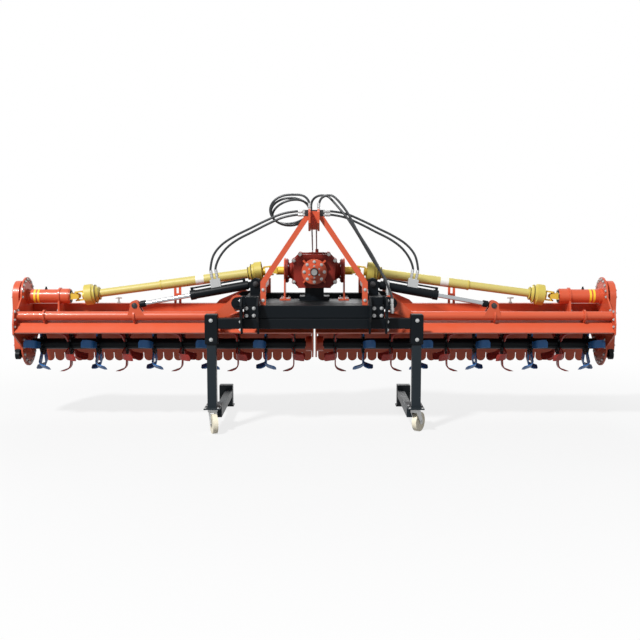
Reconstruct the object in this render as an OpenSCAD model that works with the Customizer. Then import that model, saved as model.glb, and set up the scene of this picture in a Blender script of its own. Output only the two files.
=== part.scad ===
// Folding rotary tiller for a tractor's three-point hitch, seen from the tractor side along +Y.
// Millimetres, Z up, ground at Z 0. Left is the machine's left, on +X; the right side is its mirror image.

/* [Overall] */
// Width over the two side drives
overall_w = 4850; // [4500:10:5200]
// Gap between the two wings at the middle
wing_gap = 16; // [12:1:30]

/* [Rotor] */
// Height of the rotor axis
rotor_z = 618; // [605:1:630]
// Radius to the tips of the tines
tip_r = 228; // [215:1:232]
// Radius of the rotor tube
tube_r = 44; // [36:1:50]
// Radius of the tine flanges
flange_r = 92; // [80:1:100]
// Thickness of a tine flange
flange_t = 12; // [8:1:16]
// Flanges on one rotor
flange_n = 10; // [8:1:11]
// Tines on one flange
tine_n = 6; // [4:2:6]
// Width of a tine
tine_w = 64; // [50:1:72]
// Thickness of a tine
tine_t = 10; // [8:1:12]
// Bend of a tine out of its flange
tine_bend = 70; // [55:1:75]
// Length of a tine's blade past the bend
blade_l = 62; // [50:1:68]

/* [Wing] */
// Thickness of the hood sheet
hood_t = 6; // [4:1:8]
// Height of the hood top
hood_z = 868; // [864:1:874]
// Radius of the front tube
front_r = 35; // [32:1:38]
// Height of the front tube
front_z = 876; // [872:1:880]
// Place of the front tube, and of the fold cylinder above it
front_y = -290; // [-300:1:-285]
// Side of the square rear beam
rear_s = 70; // [60:1:76]
// Thickness of the end plates
end_t = 12; // [8:1:16]
// Thickness of the side gear case
case_w = 75; // [60:1:90]
// Radius of the case around the input
case_top_r = 125; // [110:1:130]
// Radius of the case around the rotor
case_low_r = 118; // [110:1:128]
// Radius of the bearing flange on a side plate
plate_low_r = 179; // [165:1:185]
// Height of the side input
input_z = 1008; // [1000:1:1016]
// Radius of the input housing
input_r = 56; // [48:1:60]
// Length of the input housing
input_l = 352; // [330:1:370]

/* [Rear board] */
// Length of the board below its hinge
board_l = 320; // [280:1:330]
// Thickness of the board
board_t = 6; // [4:1:8]
// Strips along the lower edge
strip_n = 27; // [20:1:30]
// Length of the slots between the strips
slot_l = 76; // [50:1:100]

/* [Fold] */
// Distance of the fold hinge from the middle
hinge_x = 590; // [586:1:600]
// Height of the fold hinge
hinge_z = 989; // [985:1:992]
// Radius of the hinge pin
hinge_r = 22; // [18:1:25]
// Radius of the cylinder barrel
barrel_r = 35; // [30:1:38]
// Radius of the piston rod
rod_r = 17; // [14:1:20]
// Length of the barrel from its base pin
barrel_l = 520; // [500:1:540]

/* [Drive shafts] */
// Distance of the inner joint from the middle
joint_x = 356; // [350:1:362]
// Height of the gearbox axis
gear_z = 1217; // [1210:1:1224]
// Radius of the larger guard tube
guard_r = 39; // [36:1:42]
// Radius of the guard bells
bell_r = 84; // [76:1:88]
// Length from the inner joint to the end of the larger tube
guard_l = 910; // [820:1:912]

/* [Centre frame] */
// Side of the main beam
beam_s = 100; // [90:1:110]
// Height of the main beam's underside
beam_z = 883; // [880:1:886]
// Front face of the main beam
beam_y = -560; // [-570:1:-550]
// Half the spread of the lower hitch points
hitch_x = 482.5; // [480:0.5:485]
// Radius of the lower hitch bores
hitch_r = 18.5; // [18:0.1:19]
// Height of the lower hitch bores
hitch_z = 945; // [935:1:955]
// Radius of the top link bore
top_r = 16; // [15.5:0.1:17]
// Height of the top link bore
top_z = 1632; // [1620:1:1650]
// Gap between the top link plates
top_gap = 52; // [50:1:56]
// Radius of a hydraulic hose
hose_r = 9; // [7:0.5:10]

/* [Stand] */
// Distance of the stand legs from the middle
leg_x = 780; // [770:1:790]
// Side of the square leg
leg_s = 70; // [60:1:76]
// Radius of a castor wheel
wheel_r = 75; // [70:1:80]
// Turn of the left castor
castor_left = 57; // [0:1:180]
// Turn of the right castor
castor_right = -72; // [-180:1:180]

/* [Hidden] */
$fn = 64;

black = [0.09, 0.09, 0.10];
red = [0.72, 0.10, 0.05];
yellow = [0.90, 0.74, 0.20];
steel = [0.75, 0.76, 0.78];
zinc = [0.66, 0.66, 0.62];
cream = [0.88, 0.84, 0.72];
rubber = [0.05, 0.05, 0.05];

// Wing ends
case_x = overall_w / 2 - case_w;
side_x = case_x - end_t;
inner_x = wing_gap / 2;
bay_x = inner_x + end_t;

// Rotor
bearing_l = 50;
bearing_r = 62;
stub_r = 26;
first_x = bay_x + 150;
last_x = side_x - 112;
flange_pitch = (last_x - first_x) / (flange_n - 1);
bend_r = 40;
tine_root = 56;
tine_sweep = 30;
root_w = 44;
bend_z = tip_r - 3 - blade_l * cos(tine_bend) - bend_r * sin(tine_bend);
tine_pts = [
  [0, tine_root],
  for (i = [0:5]) [-bend_r, bend_z] + bend_r * [cos(i * tine_bend / 5), sin(i * tine_bend / 5)],
  [-bend_r, bend_z] + bend_r * [cos(tine_bend), sin(tine_bend)] + blade_l * [-sin(tine_bend), cos(tine_bend)]
];

// Hood outline in the Y Z plane, front lip to rear edge
hood_pts = [
  [-352, 742], [-370, 753], [-295, 816], [-190, hood_z], [150, hood_z], [290, 765], [300, 722]
];
pivot_y = 318;
pivot_z = 730;
pivot_r = 6;
board_tilt = 13;
strip_w = (side_x - bay_x - 10) / strip_n;
lug_xs = [for (i = [0:3]) bay_x + 60 + i * (side_x - bay_x - 120) / 3];

case_eye = [-112, rotor_z - 78];
waist = 32;

// Rear beam
rear_y = 120;
rear_z = hood_z;
rear_x = hinge_x + 70;
rest_x = 1110;
rest_z = 1070;
adjust_x = 1633;

// Fold cylinder: base pin, rod eye, its length and its slope
base_x = 456;
base_r = 15;
base_z = 1129;
eye_x = 1404;
eye_z = 960;
fold_l = norm([eye_x - base_x, eye_z - base_z]);
fold_a = atan2(eye_z - base_z, eye_x - base_x);

// Drive shaft: outer joint, its length and its slope
fork_reach = 52;
outer_x = side_x - input_l - fork_reach;
outer_z = input_z;
shaft_l = norm([outer_x - joint_x, outer_z - gear_z]);
shaft_a = atan2(outer_z - gear_z, outer_x - joint_x);
mount_x = 234;
mount_t = 12;
gear_h = 135;
gear_w = 165;
gear_cut = 50;
gear_d = 110;
neck_r = 62;
stay_z = gear_z + gear_h + 33;

// Centre frame
beam_top = beam_z + beam_s;
beam_back = beam_y + beam_s;
rail_in = 430;
rail_out = 518;
rail_low = 942;
rail_top = 1045;
rail_back = 200;
beam_x = 530;
foot_x = 385;
deck_z = rail_low + 40;
hitch_front = beam_y - 130;
hitch_y = hitch_front + 40;
mast_back = beam_y + 110;
mast_top = top_z + 73;
mast_low = top_z - 92;
knee_z = beam_top + 163;
hitch_t = 15;
hitch_gap = 109;
post_y = rail_back - 60;
arm_front = beam_back + 33;
arm_rear = 150;
arm_t = 30;

// Stand
leg_y = beam_y + 40;
foot_y = 455;
plate_z = 184;
arm_top = 145;
trail = 48;
sleeve_s = leg_s + 26;
sleeve_low = 685;
sleeve_top = 905;
wheel_w = 38;

// Hoses: the block on the mast's back, the stubs on a cylinder's valve block, a hose's gap to its
// fitting, and the coil beside the mast
block_z = top_z + 18;
block_x = 70;
hose_y = mast_back + 15;
stub_h = 112;
hose_clear = 0.3;
coil_mid = [-180, 1705];
coil_rx = 160;
coil_rz = 110;
coil_y = [-405, -343];
function on_barrel(x, h) = [
  base_x + x * cos(fold_a) - h * sin(fold_a), front_y, base_z + x * sin(fold_a) + h * cos(fold_a)
];
fold_route_a = [
  [70, -435, 1662], [140, -435, 1662], [245, -428, 1640], [360, -412, 1590], [475, -388, 1532],
  [590, -352, 1474], [680, -318, 1408], [742, -298, 1328],
  on_barrel(290, 172), on_barrel(290, stub_h + hose_clear)
];
fold_route_b = [
  [70, -435, 1688], [140, -435, 1688], [250, -428, 1668], [370, -412, 1618], [490, -388, 1560],
  [610, -352, 1502], [715, -318, 1435], [785, -298, 1350],
  on_barrel(330, 172), on_barrel(330, stub_h + hose_clear)
];
feed_start_a = [[-35, -435, 1700], [-35, -435, 1722], [-44, -421, 1756], [-67, -394, 1783]];
feed_route_a = [
  [-20, -354, 1705], [-15, -360, 1750], [15, -380, 1790], [70, -412, 1795], [150, -445, 1745],
  [250, -482, 1640], [340, -515, 1500], [430, -545, 1350], [505, -566, 1250], [545, -574, 1190],
  [555, -575, 1150], [555, -575, 1120]
];
feed_route_b = [
  [35, -435, 1700], [35, -435, 1728], [65, -448, 1762], [130, -475, 1745], [230, -515, 1650],
  [330, -545, 1520], [430, -570, 1370], [520, -592, 1200], [570, -606, 1090], [585, -606, 1040],
  [585, -606, 985]
];

// Middle of the depth, from the rotor axis
foot_back = foot_y + 90;
origin_y = -(hitch_front + foot_back) / 2;

function dir(a) = [cos(a), sin(a)];
function left_of(a, b) = [a.y - b.y, b.x - a.x] / norm(b - a);
function inset_pt(p, i, t) =
  let (n0 = left_of(p[max(i - 1, 0)], p[max(i, 1)]))
  let (n1 = left_of(p[min(i, len(p) - 2)], p[min(i + 1, len(p) - 1)]))
  p[i] - (n0 + n1) * t / (1 + n0 * n1);

// Bent sheet: the outer outline, and the same line one thickness inside it
module sheet2d(p, t) {
  inner = [for (i = [len(p) - 1:-1:0]) inset_pt(p, i, t)];
  polygon(concat(p, inner));
}

// Two round ends joined by their outer tangents, drawn in by ease
module link2d(p, rp, q, rq, ease = 0) {
  d = norm(q - p);
  a = atan2(q.y - p.y, q.x - p.x);
  b = acos((rp - rq) / d);
  sp = rp - ease;
  sq = rq - ease;
  translate(p) circle(rp);
  translate(q) circle(rq);
  polygon([p + sp * dir(a + b), q + sq * dir(a + b), q + sq * dir(a - b), p + sp * dir(a - b)]);
}

// Outline in X Z, thick from y0 to y1
module across(y0, y1) {
  translate([0, y1, 0]) rotate([90, 0, 0]) linear_extrude(y1 - y0) children();
}

// Outline in Y Z, thick from x0 to x1
module along(x0, x1) {
  translate([x0, 0, 0]) rotate([90, 0, 90]) linear_extrude(x1 - x0) children();
}

module box(a, b) {
  translate(a) cube(b - a);
}

module rod_x(r, x0, x1, y, z) {
  translate([x0, y, z]) rotate([0, 90, 0]) cylinder(r = r, h = x1 - x0);
}

module rod_y(r, y0, y1, x, z) {
  translate([x, y1, z]) rotate([90, 0, 0]) cylinder(r = r, h = y1 - y0);
}

module rod_z(r, z0, z1, x, y) {
  translate([x, y, z0]) cylinder(r = r, h = z1 - z0);
}

function unit(v) = v / norm(v);
function tangent(p, i) = unit(p[min(i + 1, len(p) - 1)] - p[max(i - 1, 0)]);
function ring(p, i, r, n) =
  let (t = tangent(p, i))
  let (u = unit(cross(t, [0, 1, 0])))
  [for (k = [0:n - 1]) p[i] + r * (cos(k * 360 / n) * u + sin(k * 360 / n) * cross(t, u))];

// Round hose along its route, with a ring at each point
module tube(p, r, n = 10) {
  last = len(p) - 1;
  sides = [
    for (i = [0:last - 1]) for (k = [0:n - 1])
      [i * n + k, (i + 1) * n + k, (i + 1) * n + (k + 1) % n, i * n + (k + 1) % n]
  ];
  start = [for (k = [0:n - 1]) k];
  end = [for (k = [n - 1:-1:0]) last * n + k];
  polyhedron([for (i = [0:last]) each ring(p, i, r, n)], concat([start], sides, [end]));
}

module both() {
  children();
  mirror([1, 0, 0]) children();
}

module sided(s) {
  if (s > 0) children();
  else mirror([1, 0, 0]) children();
}

module placed() {
  translate([0, origin_y, 0]) children();
}

// Centre frame

module main_beam() color(black) placed()
  box([-beam_x, beam_y, beam_z], [beam_x, beam_back, beam_top]);

// Round end on a fold hinge, with its plate back to the rail
module hinge_ear() {
  translate([hinge_x, hinge_z]) circle(46);
  polygon([
    [rail_out - 10, rail_low], [hinge_x, hinge_z - 46], [hinge_x, hinge_z + 46], [rail_out - 10, rail_top]
  ]);
}

// Upright plate for the base pin of a fold cylinder
module base_ear() {
  translate([base_x, base_z]) circle(44);
  polygon([
    [rail_in, rail_top - 5], [rail_out - 18, rail_top - 5], [base_x + 44, base_z], [base_x - 44, base_z]
  ]);
}

module rail() {
  along(rail_in, rail_out)
    polygon([
      [beam_y, beam_top], [beam_back, beam_top], [beam_back, rail_low], [rail_back, rail_low],
      [rail_back, rail_top], [beam_y, rail_top]
    ]);
  for (y = [beam_back + 10, arm_front + arm_t + 8, arm_rear - 20, rail_back - 15])
    across(y, y + 15) hinge_ear();
  for (y = [front_y - 37, front_y + 25])
    across(y, y + 12) base_ear();
  rod_y(base_r, front_y - 45, front_y + 45, base_x, base_z);
  rod_y(hinge_r, beam_back + 2, arm_front + arm_t + 31, hinge_x, hinge_z);
  rod_y(hinge_r, arm_rear - 28, rail_back + 8, hinge_x, hinge_z);
}

module centre_frame() color(black) placed() {
  both() rail();
  box([-rail_in - 5, rail_back - 80, rail_low], [rail_in + 5, rail_back, rail_top - 20]);
  box([-rail_in - 5, beam_back + 40, rail_low], [rail_in + 5, rail_back - 70, deck_z]);
  box([-120, -100, deck_z - 5], [120, 100, deck_z + 30]);
  box([-76, -70, deck_z], [76, 70, gear_z - gear_h]);
}

module hitch_plate(x) {
  along(x, x + hitch_t)
    difference() {
      polygon([
        [beam_y, beam_z - 113], [beam_y, beam_top + 67], [beam_y - 40, beam_top + 67],
        [hitch_front, hitch_z + 45], [hitch_front, hitch_z - 40], [hitch_front + 50, hitch_z - 85],
        [beam_y - 40, beam_z - 113]
      ]);
      translate([hitch_y, hitch_z]) circle(hitch_r);
    }
}

module hitch_plates() color(black) placed()
  both() for (x = [hitch_x - hitch_gap / 2 - hitch_t, hitch_x + hitch_gap / 2]) hitch_plate(x);

module mast_leg() {
  across(beam_y + 15, beam_y + 75)
    polygon([
      [foot_x - 20, beam_top], [foot_x + 20, beam_top], [foot_x + 20, knee_z + 14],
      [top_gap / 2 + 48, top_z + 18], [top_gap / 2, top_z + 18], [foot_x - 20, knee_z]
    ]);
}

// Upright behind a mast leg on the frame's rear beam, and the bar that ties it to the leg
module mast_post() {
  box([foot_x - 20, post_y, rail_top - 20], [foot_x + 20, post_y + 45, knee_z]);
  box([foot_x - 10, beam_y + 70, knee_z - 45], [foot_x + 10, post_y + 5, knee_z - 10]);
}

module headstock() color(red) placed() {
  difference() {
    union() {
      both() mast_leg();
      both() mast_post();
      both()
        along(top_gap / 2, top_gap / 2 + 16)
          polygon([
            [beam_y - 40, top_z - 32], [beam_y - 40, top_z + 48], [beam_y + 10, mast_top],
            [mast_back, mast_top], [mast_back, mast_low], [beam_y + 15, mast_low]
          ]);
      box([-top_gap / 2 - 5, mast_back - 14, mast_low + 10], [top_gap / 2 + 5, mast_back, mast_top - 15]);
    }
    rod_x(top_r, -top_gap, top_gap, beam_y - 5, top_z);
    box([-top_gap / 2, beam_y - 60, mast_low - 40], [top_gap / 2, mast_back - 14, mast_top + 15]);
  }
}

module mast_stays() color(steel) placed()
  both()
    along(12, 22)
      polygon([
        [mast_back, top_z - 62], [mast_back, top_z - 12], [rail_back - 30, stay_z + 25],
        [rail_back - 30, rail_top - 20], [post_y, rail_top - 20], [post_y, stay_z]
      ]);

// Eight-sided case outline, grown by g
module gear_outline(g) {
  w = gear_w + g;
  h = gear_h + g;
  c = gear_cut + g / 2;
  translate([0, gear_z])
    polygon([
      [-w, c - h], [c - w, -h], [w - c, -h], [w, c - h], [w, h - c], [w - c, h], [c - w, h], [-w, h - c]
    ]);
}

// Bolt lugs on the corners of the case
module gear_lugs() {
  for (sx = [-1, 1]) for (sz = [-1, 1]) for (p = [[gear_w, gear_h - gear_cut], [gear_w - gear_cut, gear_h]])
    rod_y(17, -gear_d - 14, gear_d + 14, sx * p.x, gear_z + sz * p.y);
}

// Output neck: waisted from the case to its round flange, along +X
module gear_neck()
  translate([0, 0, gear_z]) rotate([0, 90, 0])
    rotate_extrude()
      polygon([
        [0, gear_w - 10], [neck_r + 38, gear_w - 10], [neck_r + 32, gear_w + 4], [neck_r + 6, gear_w + 20],
        [neck_r, gear_w + 32], [neck_r + 6, gear_w + 42], [neck_r + 36, gear_w + 50], [neck_r + 36, mount_x],
        [0, mount_x]
      ]);

module gearbox() color(red) placed() {
  difference() {
    union() {
      across(-gear_d, gear_d) gear_outline(0);
      across(-14, 14) gear_outline(12);
      gear_lugs();
    }
    box([-gear_w, -gear_d - 20, gear_z - gear_h - 30], [gear_w, gear_d + 20, gear_z - gear_h]);
  }
  both() gear_neck();
  for (a = [45:90:315])
    translate([0, 0, gear_z]) rotate([0, a, 0]) box([60, -gear_d - 60, -7], [126, -gear_d + 5, 7]);
  rod_y(82, -gear_d - 80, -gear_d + 5, 0, gear_z);
  rod_y(100, -gear_d - 98, -gear_d - 72, 0, gear_z);
  rod_y(58, -gear_d - 110, -gear_d - 90, 0, gear_z);
  rod_y(22.2, -gear_d - 190, 0, 0, gear_z);
  rod_z(62, gear_z + gear_h - 5, gear_z + gear_h + 14, 20, 0);
  rod_z(13, gear_z + gear_h, gear_z + gear_h + 40, 20, 0);
}

// Upright plate that carries an output neck, on a foot flange
module gearbox_mounts() color(red) placed()
  both() {
    along(mount_x, mount_x + mount_t)
      difference() {
        union() {
          translate([0, gear_z]) circle(105);
          polygon([[-105, deck_z], [105, deck_z], [75, gear_z], [-75, gear_z]]);
        }
        translate([0, gear_z]) circle(40);
      }
    box([mount_x - 40, -105, deck_z], [mount_x + 45, 105, deck_z + 12]);
  }

// Joint fork: a hub on the shaft and two ears, along +X from the joint's centre
module fork(reach) {
  rod_x(34, 46, reach, 0, 0);
  for (y = [-40, 28])
    across(y, y + 12) {
      circle(20);
      polygon([[0, -20], [56, -24], [56, 24], [0, 20]]);
    }
}

module output_yokes() color(steel) placed()
  both()
    translate([joint_x, 0, gear_z]) mirror([1, 0, 0]) fork(joint_x - mount_x);

module sleeve() {
  difference() {
    box(
      [leg_x - sleeve_s / 2, leg_y - sleeve_s / 2, sleeve_low],
      [leg_x + sleeve_s / 2, leg_y + sleeve_s / 2, sleeve_top + 8]
    );
    box(
      [leg_x - leg_s / 2 - 1, leg_y - leg_s / 2 - 1, sleeve_low - 1],
      [leg_x + leg_s / 2 + 1, leg_y + leg_s / 2 + 1, sleeve_top]
    );
  }
}

module castor_beam() color(black) placed() {
  box(
    [-leg_x + sleeve_s / 2 - 5, beam_y, beam_z - 80],
    [leg_x - sleeve_s / 2 + 5, beam_y + 80, beam_z]
  );
  both() sleeve();
}

// Hoses

module hose_block() color(zinc) placed()
  box([-block_x, mast_back, block_z], [block_x, mast_back + 30, block_z + 50]);

function coil_pt(a, g) = coil_mid + [(coil_rx + g) * cos(a), (coil_rz + g) * sin(a)];

module hose_coil() color(rubber) placed()
  across(coil_y[0], coil_y[1])
    difference() {
      polygon([for (a = [0:10:350]) coil_pt(a, hose_r + 1)]);
      polygon([for (a = [0:10:350]) coil_pt(a, -hose_r - 3)]);
    }

module feed_hose_a() color(rubber) placed() {
  tube(feed_start_a, hose_r);
  tube(feed_route_a, hose_r);
}

module feed_hose_b() color(rubber) placed()
  tube(feed_route_b, hose_r);

module hose_couplers() color(steel) placed()
  for (route = [feed_route_a, feed_route_b]) {
    end = route[len(route) - 1];
    rod_z(hose_r + 4, end.z - 58, end.z - hose_clear, end.x, end.y);
    rod_z(hose_r + 8, end.z - 42, end.z - 18, end.x, end.y);
  }

module fold_hose_a(s) color(rubber) placed() sided(s)
  tube(fold_route_a, hose_r);

module fold_hose_b(s) color(rubber) placed() sided(s)
  tube(fold_route_b, hose_r);

// Wing

// Lug on the hood for the hinge of the rear board
module board_lug(x) {
  along(x - 6, x + 6)
    difference() {
      union() {
        translate([pivot_y, pivot_z]) circle(17);
        polygon([[pivot_y - 6, pivot_z - 15], [pivot_y + 12, pivot_z + 12], [270, 790], [290, 722 + hood_t]]);
      }
      translate([pivot_y, pivot_z]) circle(pivot_r + 0.5);
    }
}

module hood(s) color(red) placed() sided(s) {
  along(bay_x, side_x) sheet2d(hood_pts, hood_t);
  for (x = lug_xs) board_lug(x);
}

function hood_at(y) = 816 + (y + 295) * (hood_z - 816) / 105;

// Clamp around the front tube with its foot on the hood
module tube_clamp(x) {
  along(x - 7, x + 7) {
    translate([front_y, front_z]) circle(front_r + 13);
    polygon([
      [-288, hood_at(-288)], [-215, hood_at(-215)], [front_y + 42, front_z + 24], [front_y - 40, front_z - 26]
    ]);
  }
}

module eye_lugs() {
  for (y = [front_y - 36, front_y + 24])
    across(y, y + 12) {
      translate([eye_x, eye_z]) circle(38);
      polygon([
        [eye_x - 80, front_z], [eye_x + 60, front_z], [eye_x + 36, eye_z - 12], [eye_x - 36, eye_z - 12]
      ]);
    }
}

// Two bars and a rung that the drive shaft is laid on
module shaft_rest() {
  for (x = [rest_x, rest_x + 40])
    box([x, rear_y + 25, rear_z + rear_s - 1], [x + 20, rear_y + 37, rest_z]);
  box([rest_x, rear_y + 25, rest_z - 70], [rest_x + 60, rear_y + 37, rest_z - 50]);
}

// Screw with a cross handle that sets the rear board
module adjuster() {
  rod_z(7, rear_z + rear_s - 5, rear_z + rear_s + 48, adjust_x, rear_y + rear_s / 2);
  rod_z(13, rear_z + rear_s - 1, rear_z + rear_s + 12, adjust_x, rear_y + rear_s / 2);
  rod_x(6, adjust_x - 26, adjust_x + 26, rear_y + rear_s / 2, rear_z + rear_s + 44);
}

module wing_tubes(s) color(red) placed() sided(s) {
  rod_x(front_r, bay_x, side_x, front_y, front_z);
  for (x = [side_x - 218, eye_x + 10]) tube_clamp(x);
  eye_lugs();
}

module rear_beam(s) color(red) placed() sided(s) {
  box([rear_x, rear_y, rear_z], [side_x, rear_y + rear_s, rear_z + rear_s]);
  shaft_rest();
  adjuster();
}

module hinge_arms(s) color(red) placed() sided(s)
  difference() {
    union() {
      across(arm_front, arm_front + arm_t) {
        translate([hinge_x, hinge_z]) circle(60);
        polygon([
          [hinge_x, hinge_z - 60], [hinge_x + 180, front_z - 40], [hinge_x + 180, front_z + 30],
          [hinge_x + 20, hinge_z + 56]
        ]);
      }
      box([hinge_x + 110, arm_front + arm_t - 5, front_z - 25], [hinge_x + 175, front_y, front_z + 25]);
      across(arm_rear, arm_rear + arm_t) {
        translate([hinge_x, hinge_z]) circle(60);
        polygon([
          [hinge_x, hinge_z - 60], [rear_x, hinge_z - 60], [rear_x, rear_z + rear_s],
          [hinge_x + 230, rear_z + rear_s], [hinge_x + 200, rear_z + rear_s + 30], [hinge_x + 20, hinge_z + 56]
        ]);
      }
    }
    rod_x(front_r, bay_x, side_x, front_y, front_z);
    rod_y(hinge_r + 0.5, -700, 400, hinge_x, hinge_z);
  }

module side_plate(s) color(red) placed() sided(s)
  difference() {
    union() {
      along(side_x, case_x) {
        translate([0, input_z]) circle(case_top_r + 30);
        translate([0, rotor_z]) circle(plate_low_r);
        polygon([
          [-372, 738], [-372, 820], [-340, 928], [-250, 928], [-case_top_r - 30, input_z],
          [case_top_r + 30, input_z], [210, 945], [304, 790], [304, 718], [plate_low_r, rotor_z],
          [-plate_low_r, rotor_z]
        ]);
      }
      rod_x(bearing_r, side_x - 24, side_x + 1, 0, rotor_z);
    }
    rod_x(stub_r + 0.5, side_x - 30, side_x - 1, 0, rotor_z);
  }

// Gear case with a recessed waist behind its cover, and the eyed lug at its lower front
module side_case(s) color(red) placed() sided(s) {
  along(case_x, case_x + 26)
    link2d([0, input_z], case_top_r - waist, [0, rotor_z], case_low_r - waist / 4, 0.4);
  along(case_x + 25, overall_w / 2)
    link2d([0, input_z], case_top_r, [0, rotor_z], case_low_r, 0.4);
  along(case_x + 30, overall_w / 2 - 12)
    difference() {
      link2d(case_eye, 36, [case_eye.x + 80, case_eye.y + 60], 50);
      translate(case_eye) circle(13);
    }
}

module input_housing(s) color(red) placed() sided(s) {
  rod_x(input_r, side_x - input_l, side_x, 0, input_z);
  rod_x(input_r + 6, side_x - input_l + 10, side_x - 260, 0, input_z);
  rod_x(input_r + 8, side_x - 22, side_x, 0, input_z);
  along(side_x - 272, side_x - 258) {
    translate([0, input_z]) circle(input_r + 14);
    polygon([[-72, hood_z], [72, hood_z], [input_r, input_z], [-input_r, input_z]]);
  }
  translate([outer_x, 0, outer_z]) fork(side_x - input_l - outer_x + 4);
}

module inner_plate(s) color(red) placed() sided(s)
  difference() {
    union() {
      along(inner_x, bay_x) {
        polygon([
          [-352, 742], [-370, 753], [front_y - front_r - 10, front_z - 10], [front_y, front_z + front_r + 8],
          [-190, hood_z], [150, hood_z], [290, 765], [300, 722], [170, 530], [-170, 530]
        ]);
        translate([front_y, front_z]) circle(front_r + 8);
      }
      rod_x(bearing_r, bay_x - 1, bay_x + bearing_l, 0, rotor_z);
    }
    rod_x(stub_r + 0.5, bay_x + 4, bay_x + bearing_l + 1, 0, rotor_z);
  }

// Side view of a tine: it widens from the root and its tip trails
function tine_edge(t, side) = [
  tine_sweep * t * t + side * (root_w + (tine_w - root_w) * t) / 2, tine_root + (tip_r + 4 - tine_root) * t
];

module tine_outline()
  intersection() {
    polygon([for (t = [0:0.2:1]) tine_edge(t, 1), for (t = [1:-0.2:0]) tine_edge(t, -1)]);
    circle(tip_r);
  }

// Bent tine, its root against a flange, bending towards -X
module tine()
  intersection() {
    across(-tine_w, tine_w) sheet2d(tine_pts, tine_t);
    along(-2 * blade_l - bend_r, tine_t) tine_outline();
  }

module rotor(s) color(black) placed() sided(s)
  translate([0, 0, rotor_z]) {
    rod_x(tube_r, bay_x + bearing_l + 8, side_x - 32, 0, 0);
    rod_x(stub_r, bay_x + 10, side_x - 5, 0, 0);
    for (i = [0:flange_n - 1])
      translate([first_x + i * flange_pitch, 0, 0]) {
        rod_x(flange_r, -flange_t / 2, flange_t / 2, 0, 0);
        for (k = [0:tine_n - 1])
          rotate([k * 360 / tine_n + (i % 2) * 30, 0, 0])
            mirror([k % 2, 0, 0]) translate([-flange_t / 2 + 1, 0, 0]) tine();
      }
  }

// Lower edge of the board: one strip with its rounded end
function strip_pts(i) =
  let (x0 = bay_x + 8 + i * strip_w)
  let (r = strip_w / 2 - 3)
  concat(
    [[x0, slot_l - board_l]],
    [for (a = [180:20:360]) [x0 + r + r * cos(a), r - board_l + r * sin(a)]],
    [[x0 + 2 * r, slot_l - board_l]]
  );

module board_sheet()
  difference() {
    polygon(concat([[side_x - 8, -6], [bay_x + 8, -6]], [for (i = [0:strip_n - 1]) each strip_pts(i)]));
    for (x = lug_xs) translate([x - 10, -24]) square([20, 30]);
  }

module rear_board(s) color(red) placed() sided(s)
  translate([0, pivot_y, pivot_z]) {
    rotate([board_tilt, 0, 0]) across(-board_t / 2, board_t / 2) board_sheet();
    difference() {
      rod_x(11, bay_x + 12, side_x - 12, 0, 0);
      for (x = lug_xs) box([x - 8, -20, -20], [x + 8, 20, 20]);
    }
    for (x = lug_xs) rod_x(pivot_r, x - 12, x + 12, 0, 0);
  }

// Fold cylinder, along +X from its base pin

module fold_barrel(s) color(black) placed() sided(s)
  translate([base_x, front_y, base_z]) rotate([0, -fold_a, 0])
    difference() {
      union() {
        rod_x(barrel_r, 60, barrel_l, 0, 0);
        rod_x(barrel_r + 4, barrel_l - 40, barrel_l, 0, 0);
        rod_y(32, -21, 21, 0, 0);
        box([0, -21, -24], [65, 21, 24]);
        box([270, -20, 20], [350, 20, 92]);
        for (x = [290, 330]) rod_z(hose_r + 1, 90, stub_h, x, 0);
        rod_x(7, 88, barrel_l - 18, 0, barrel_r + 18);
        for (x = [88, barrel_l - 18]) rod_z(11, barrel_r - 6, barrel_r + 26, x, 0);
      }
      rod_y(base_r + 0.5, -30, 30, 0, 0);
      rod_x(barrel_r - 7, 70, barrel_l - 45, 0, 0);
      rod_x(rod_r + 0.5, 70, barrel_l + 5, 0, 0);
    }

module fold_rod(s) color(steel) placed() sided(s)
  translate([base_x, front_y, base_z]) rotate([0, -fold_a, 0]) {
    rod_x(rod_r, barrel_l - 80, fold_l - 20, 0, 0);
    rod_x(barrel_r - 8, barrel_l - 85, barrel_l - 55, 0, 0);
    rod_x(26, fold_l - 85, fold_l - 45, 0, 0);
    rod_y(32, -19, 19, fold_l, 0);
  }

// One half of a drive shaft, along +X from its joint's centre
module shaft_end() {
  rotate([90, 0, 0]) fork(120);
  rod_z(10, -34, 34, 0, 0);
  rod_y(10, -27.95, 27.95, 0, 0);
  rod_x(22, 110, 196, 0, 0);
  rotate([0, 90, 0])
    rotate_extrude()
      polygon([
        [bell_r, 70], [bell_r, 128], [bell_r - 12, 136], [bell_r - 14, 150], [bell_r - 10, 152],
        [bell_r - 10, 158], [bell_r - 22, 162], [guard_r + 10, 178], [guard_r + 14, 180],
        [guard_r + 14, 186], [guard_r + 8, 190], [guard_r - 10, 190], [guard_r - 10, 184],
        [bell_r - 26, 158], [bell_r - 16, 134], [bell_r - 4, 126], [bell_r - 4, 70]
      ]);
}

module shaft_inner(s) color(yellow) placed() sided(s)
  translate([joint_x, 0, gear_z]) rotate([0, -shaft_a, 0]) {
    shaft_end();
    difference() {
      rod_x(guard_r, 188, guard_l, 0, 0);
      rod_x(guard_r - 4, 198, guard_l + 1, 0, 0);
    }
  }

module shaft_outer(s) color(yellow) placed() sided(s)
  translate([outer_x, 0, outer_z]) rotate([0, -shaft_a, 0]) mirror([1, 0, 0]) {
    shaft_end();
    rod_x(guard_r - 6, 188, shaft_l - 680, 0, 0);
  }

// Stand

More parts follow.
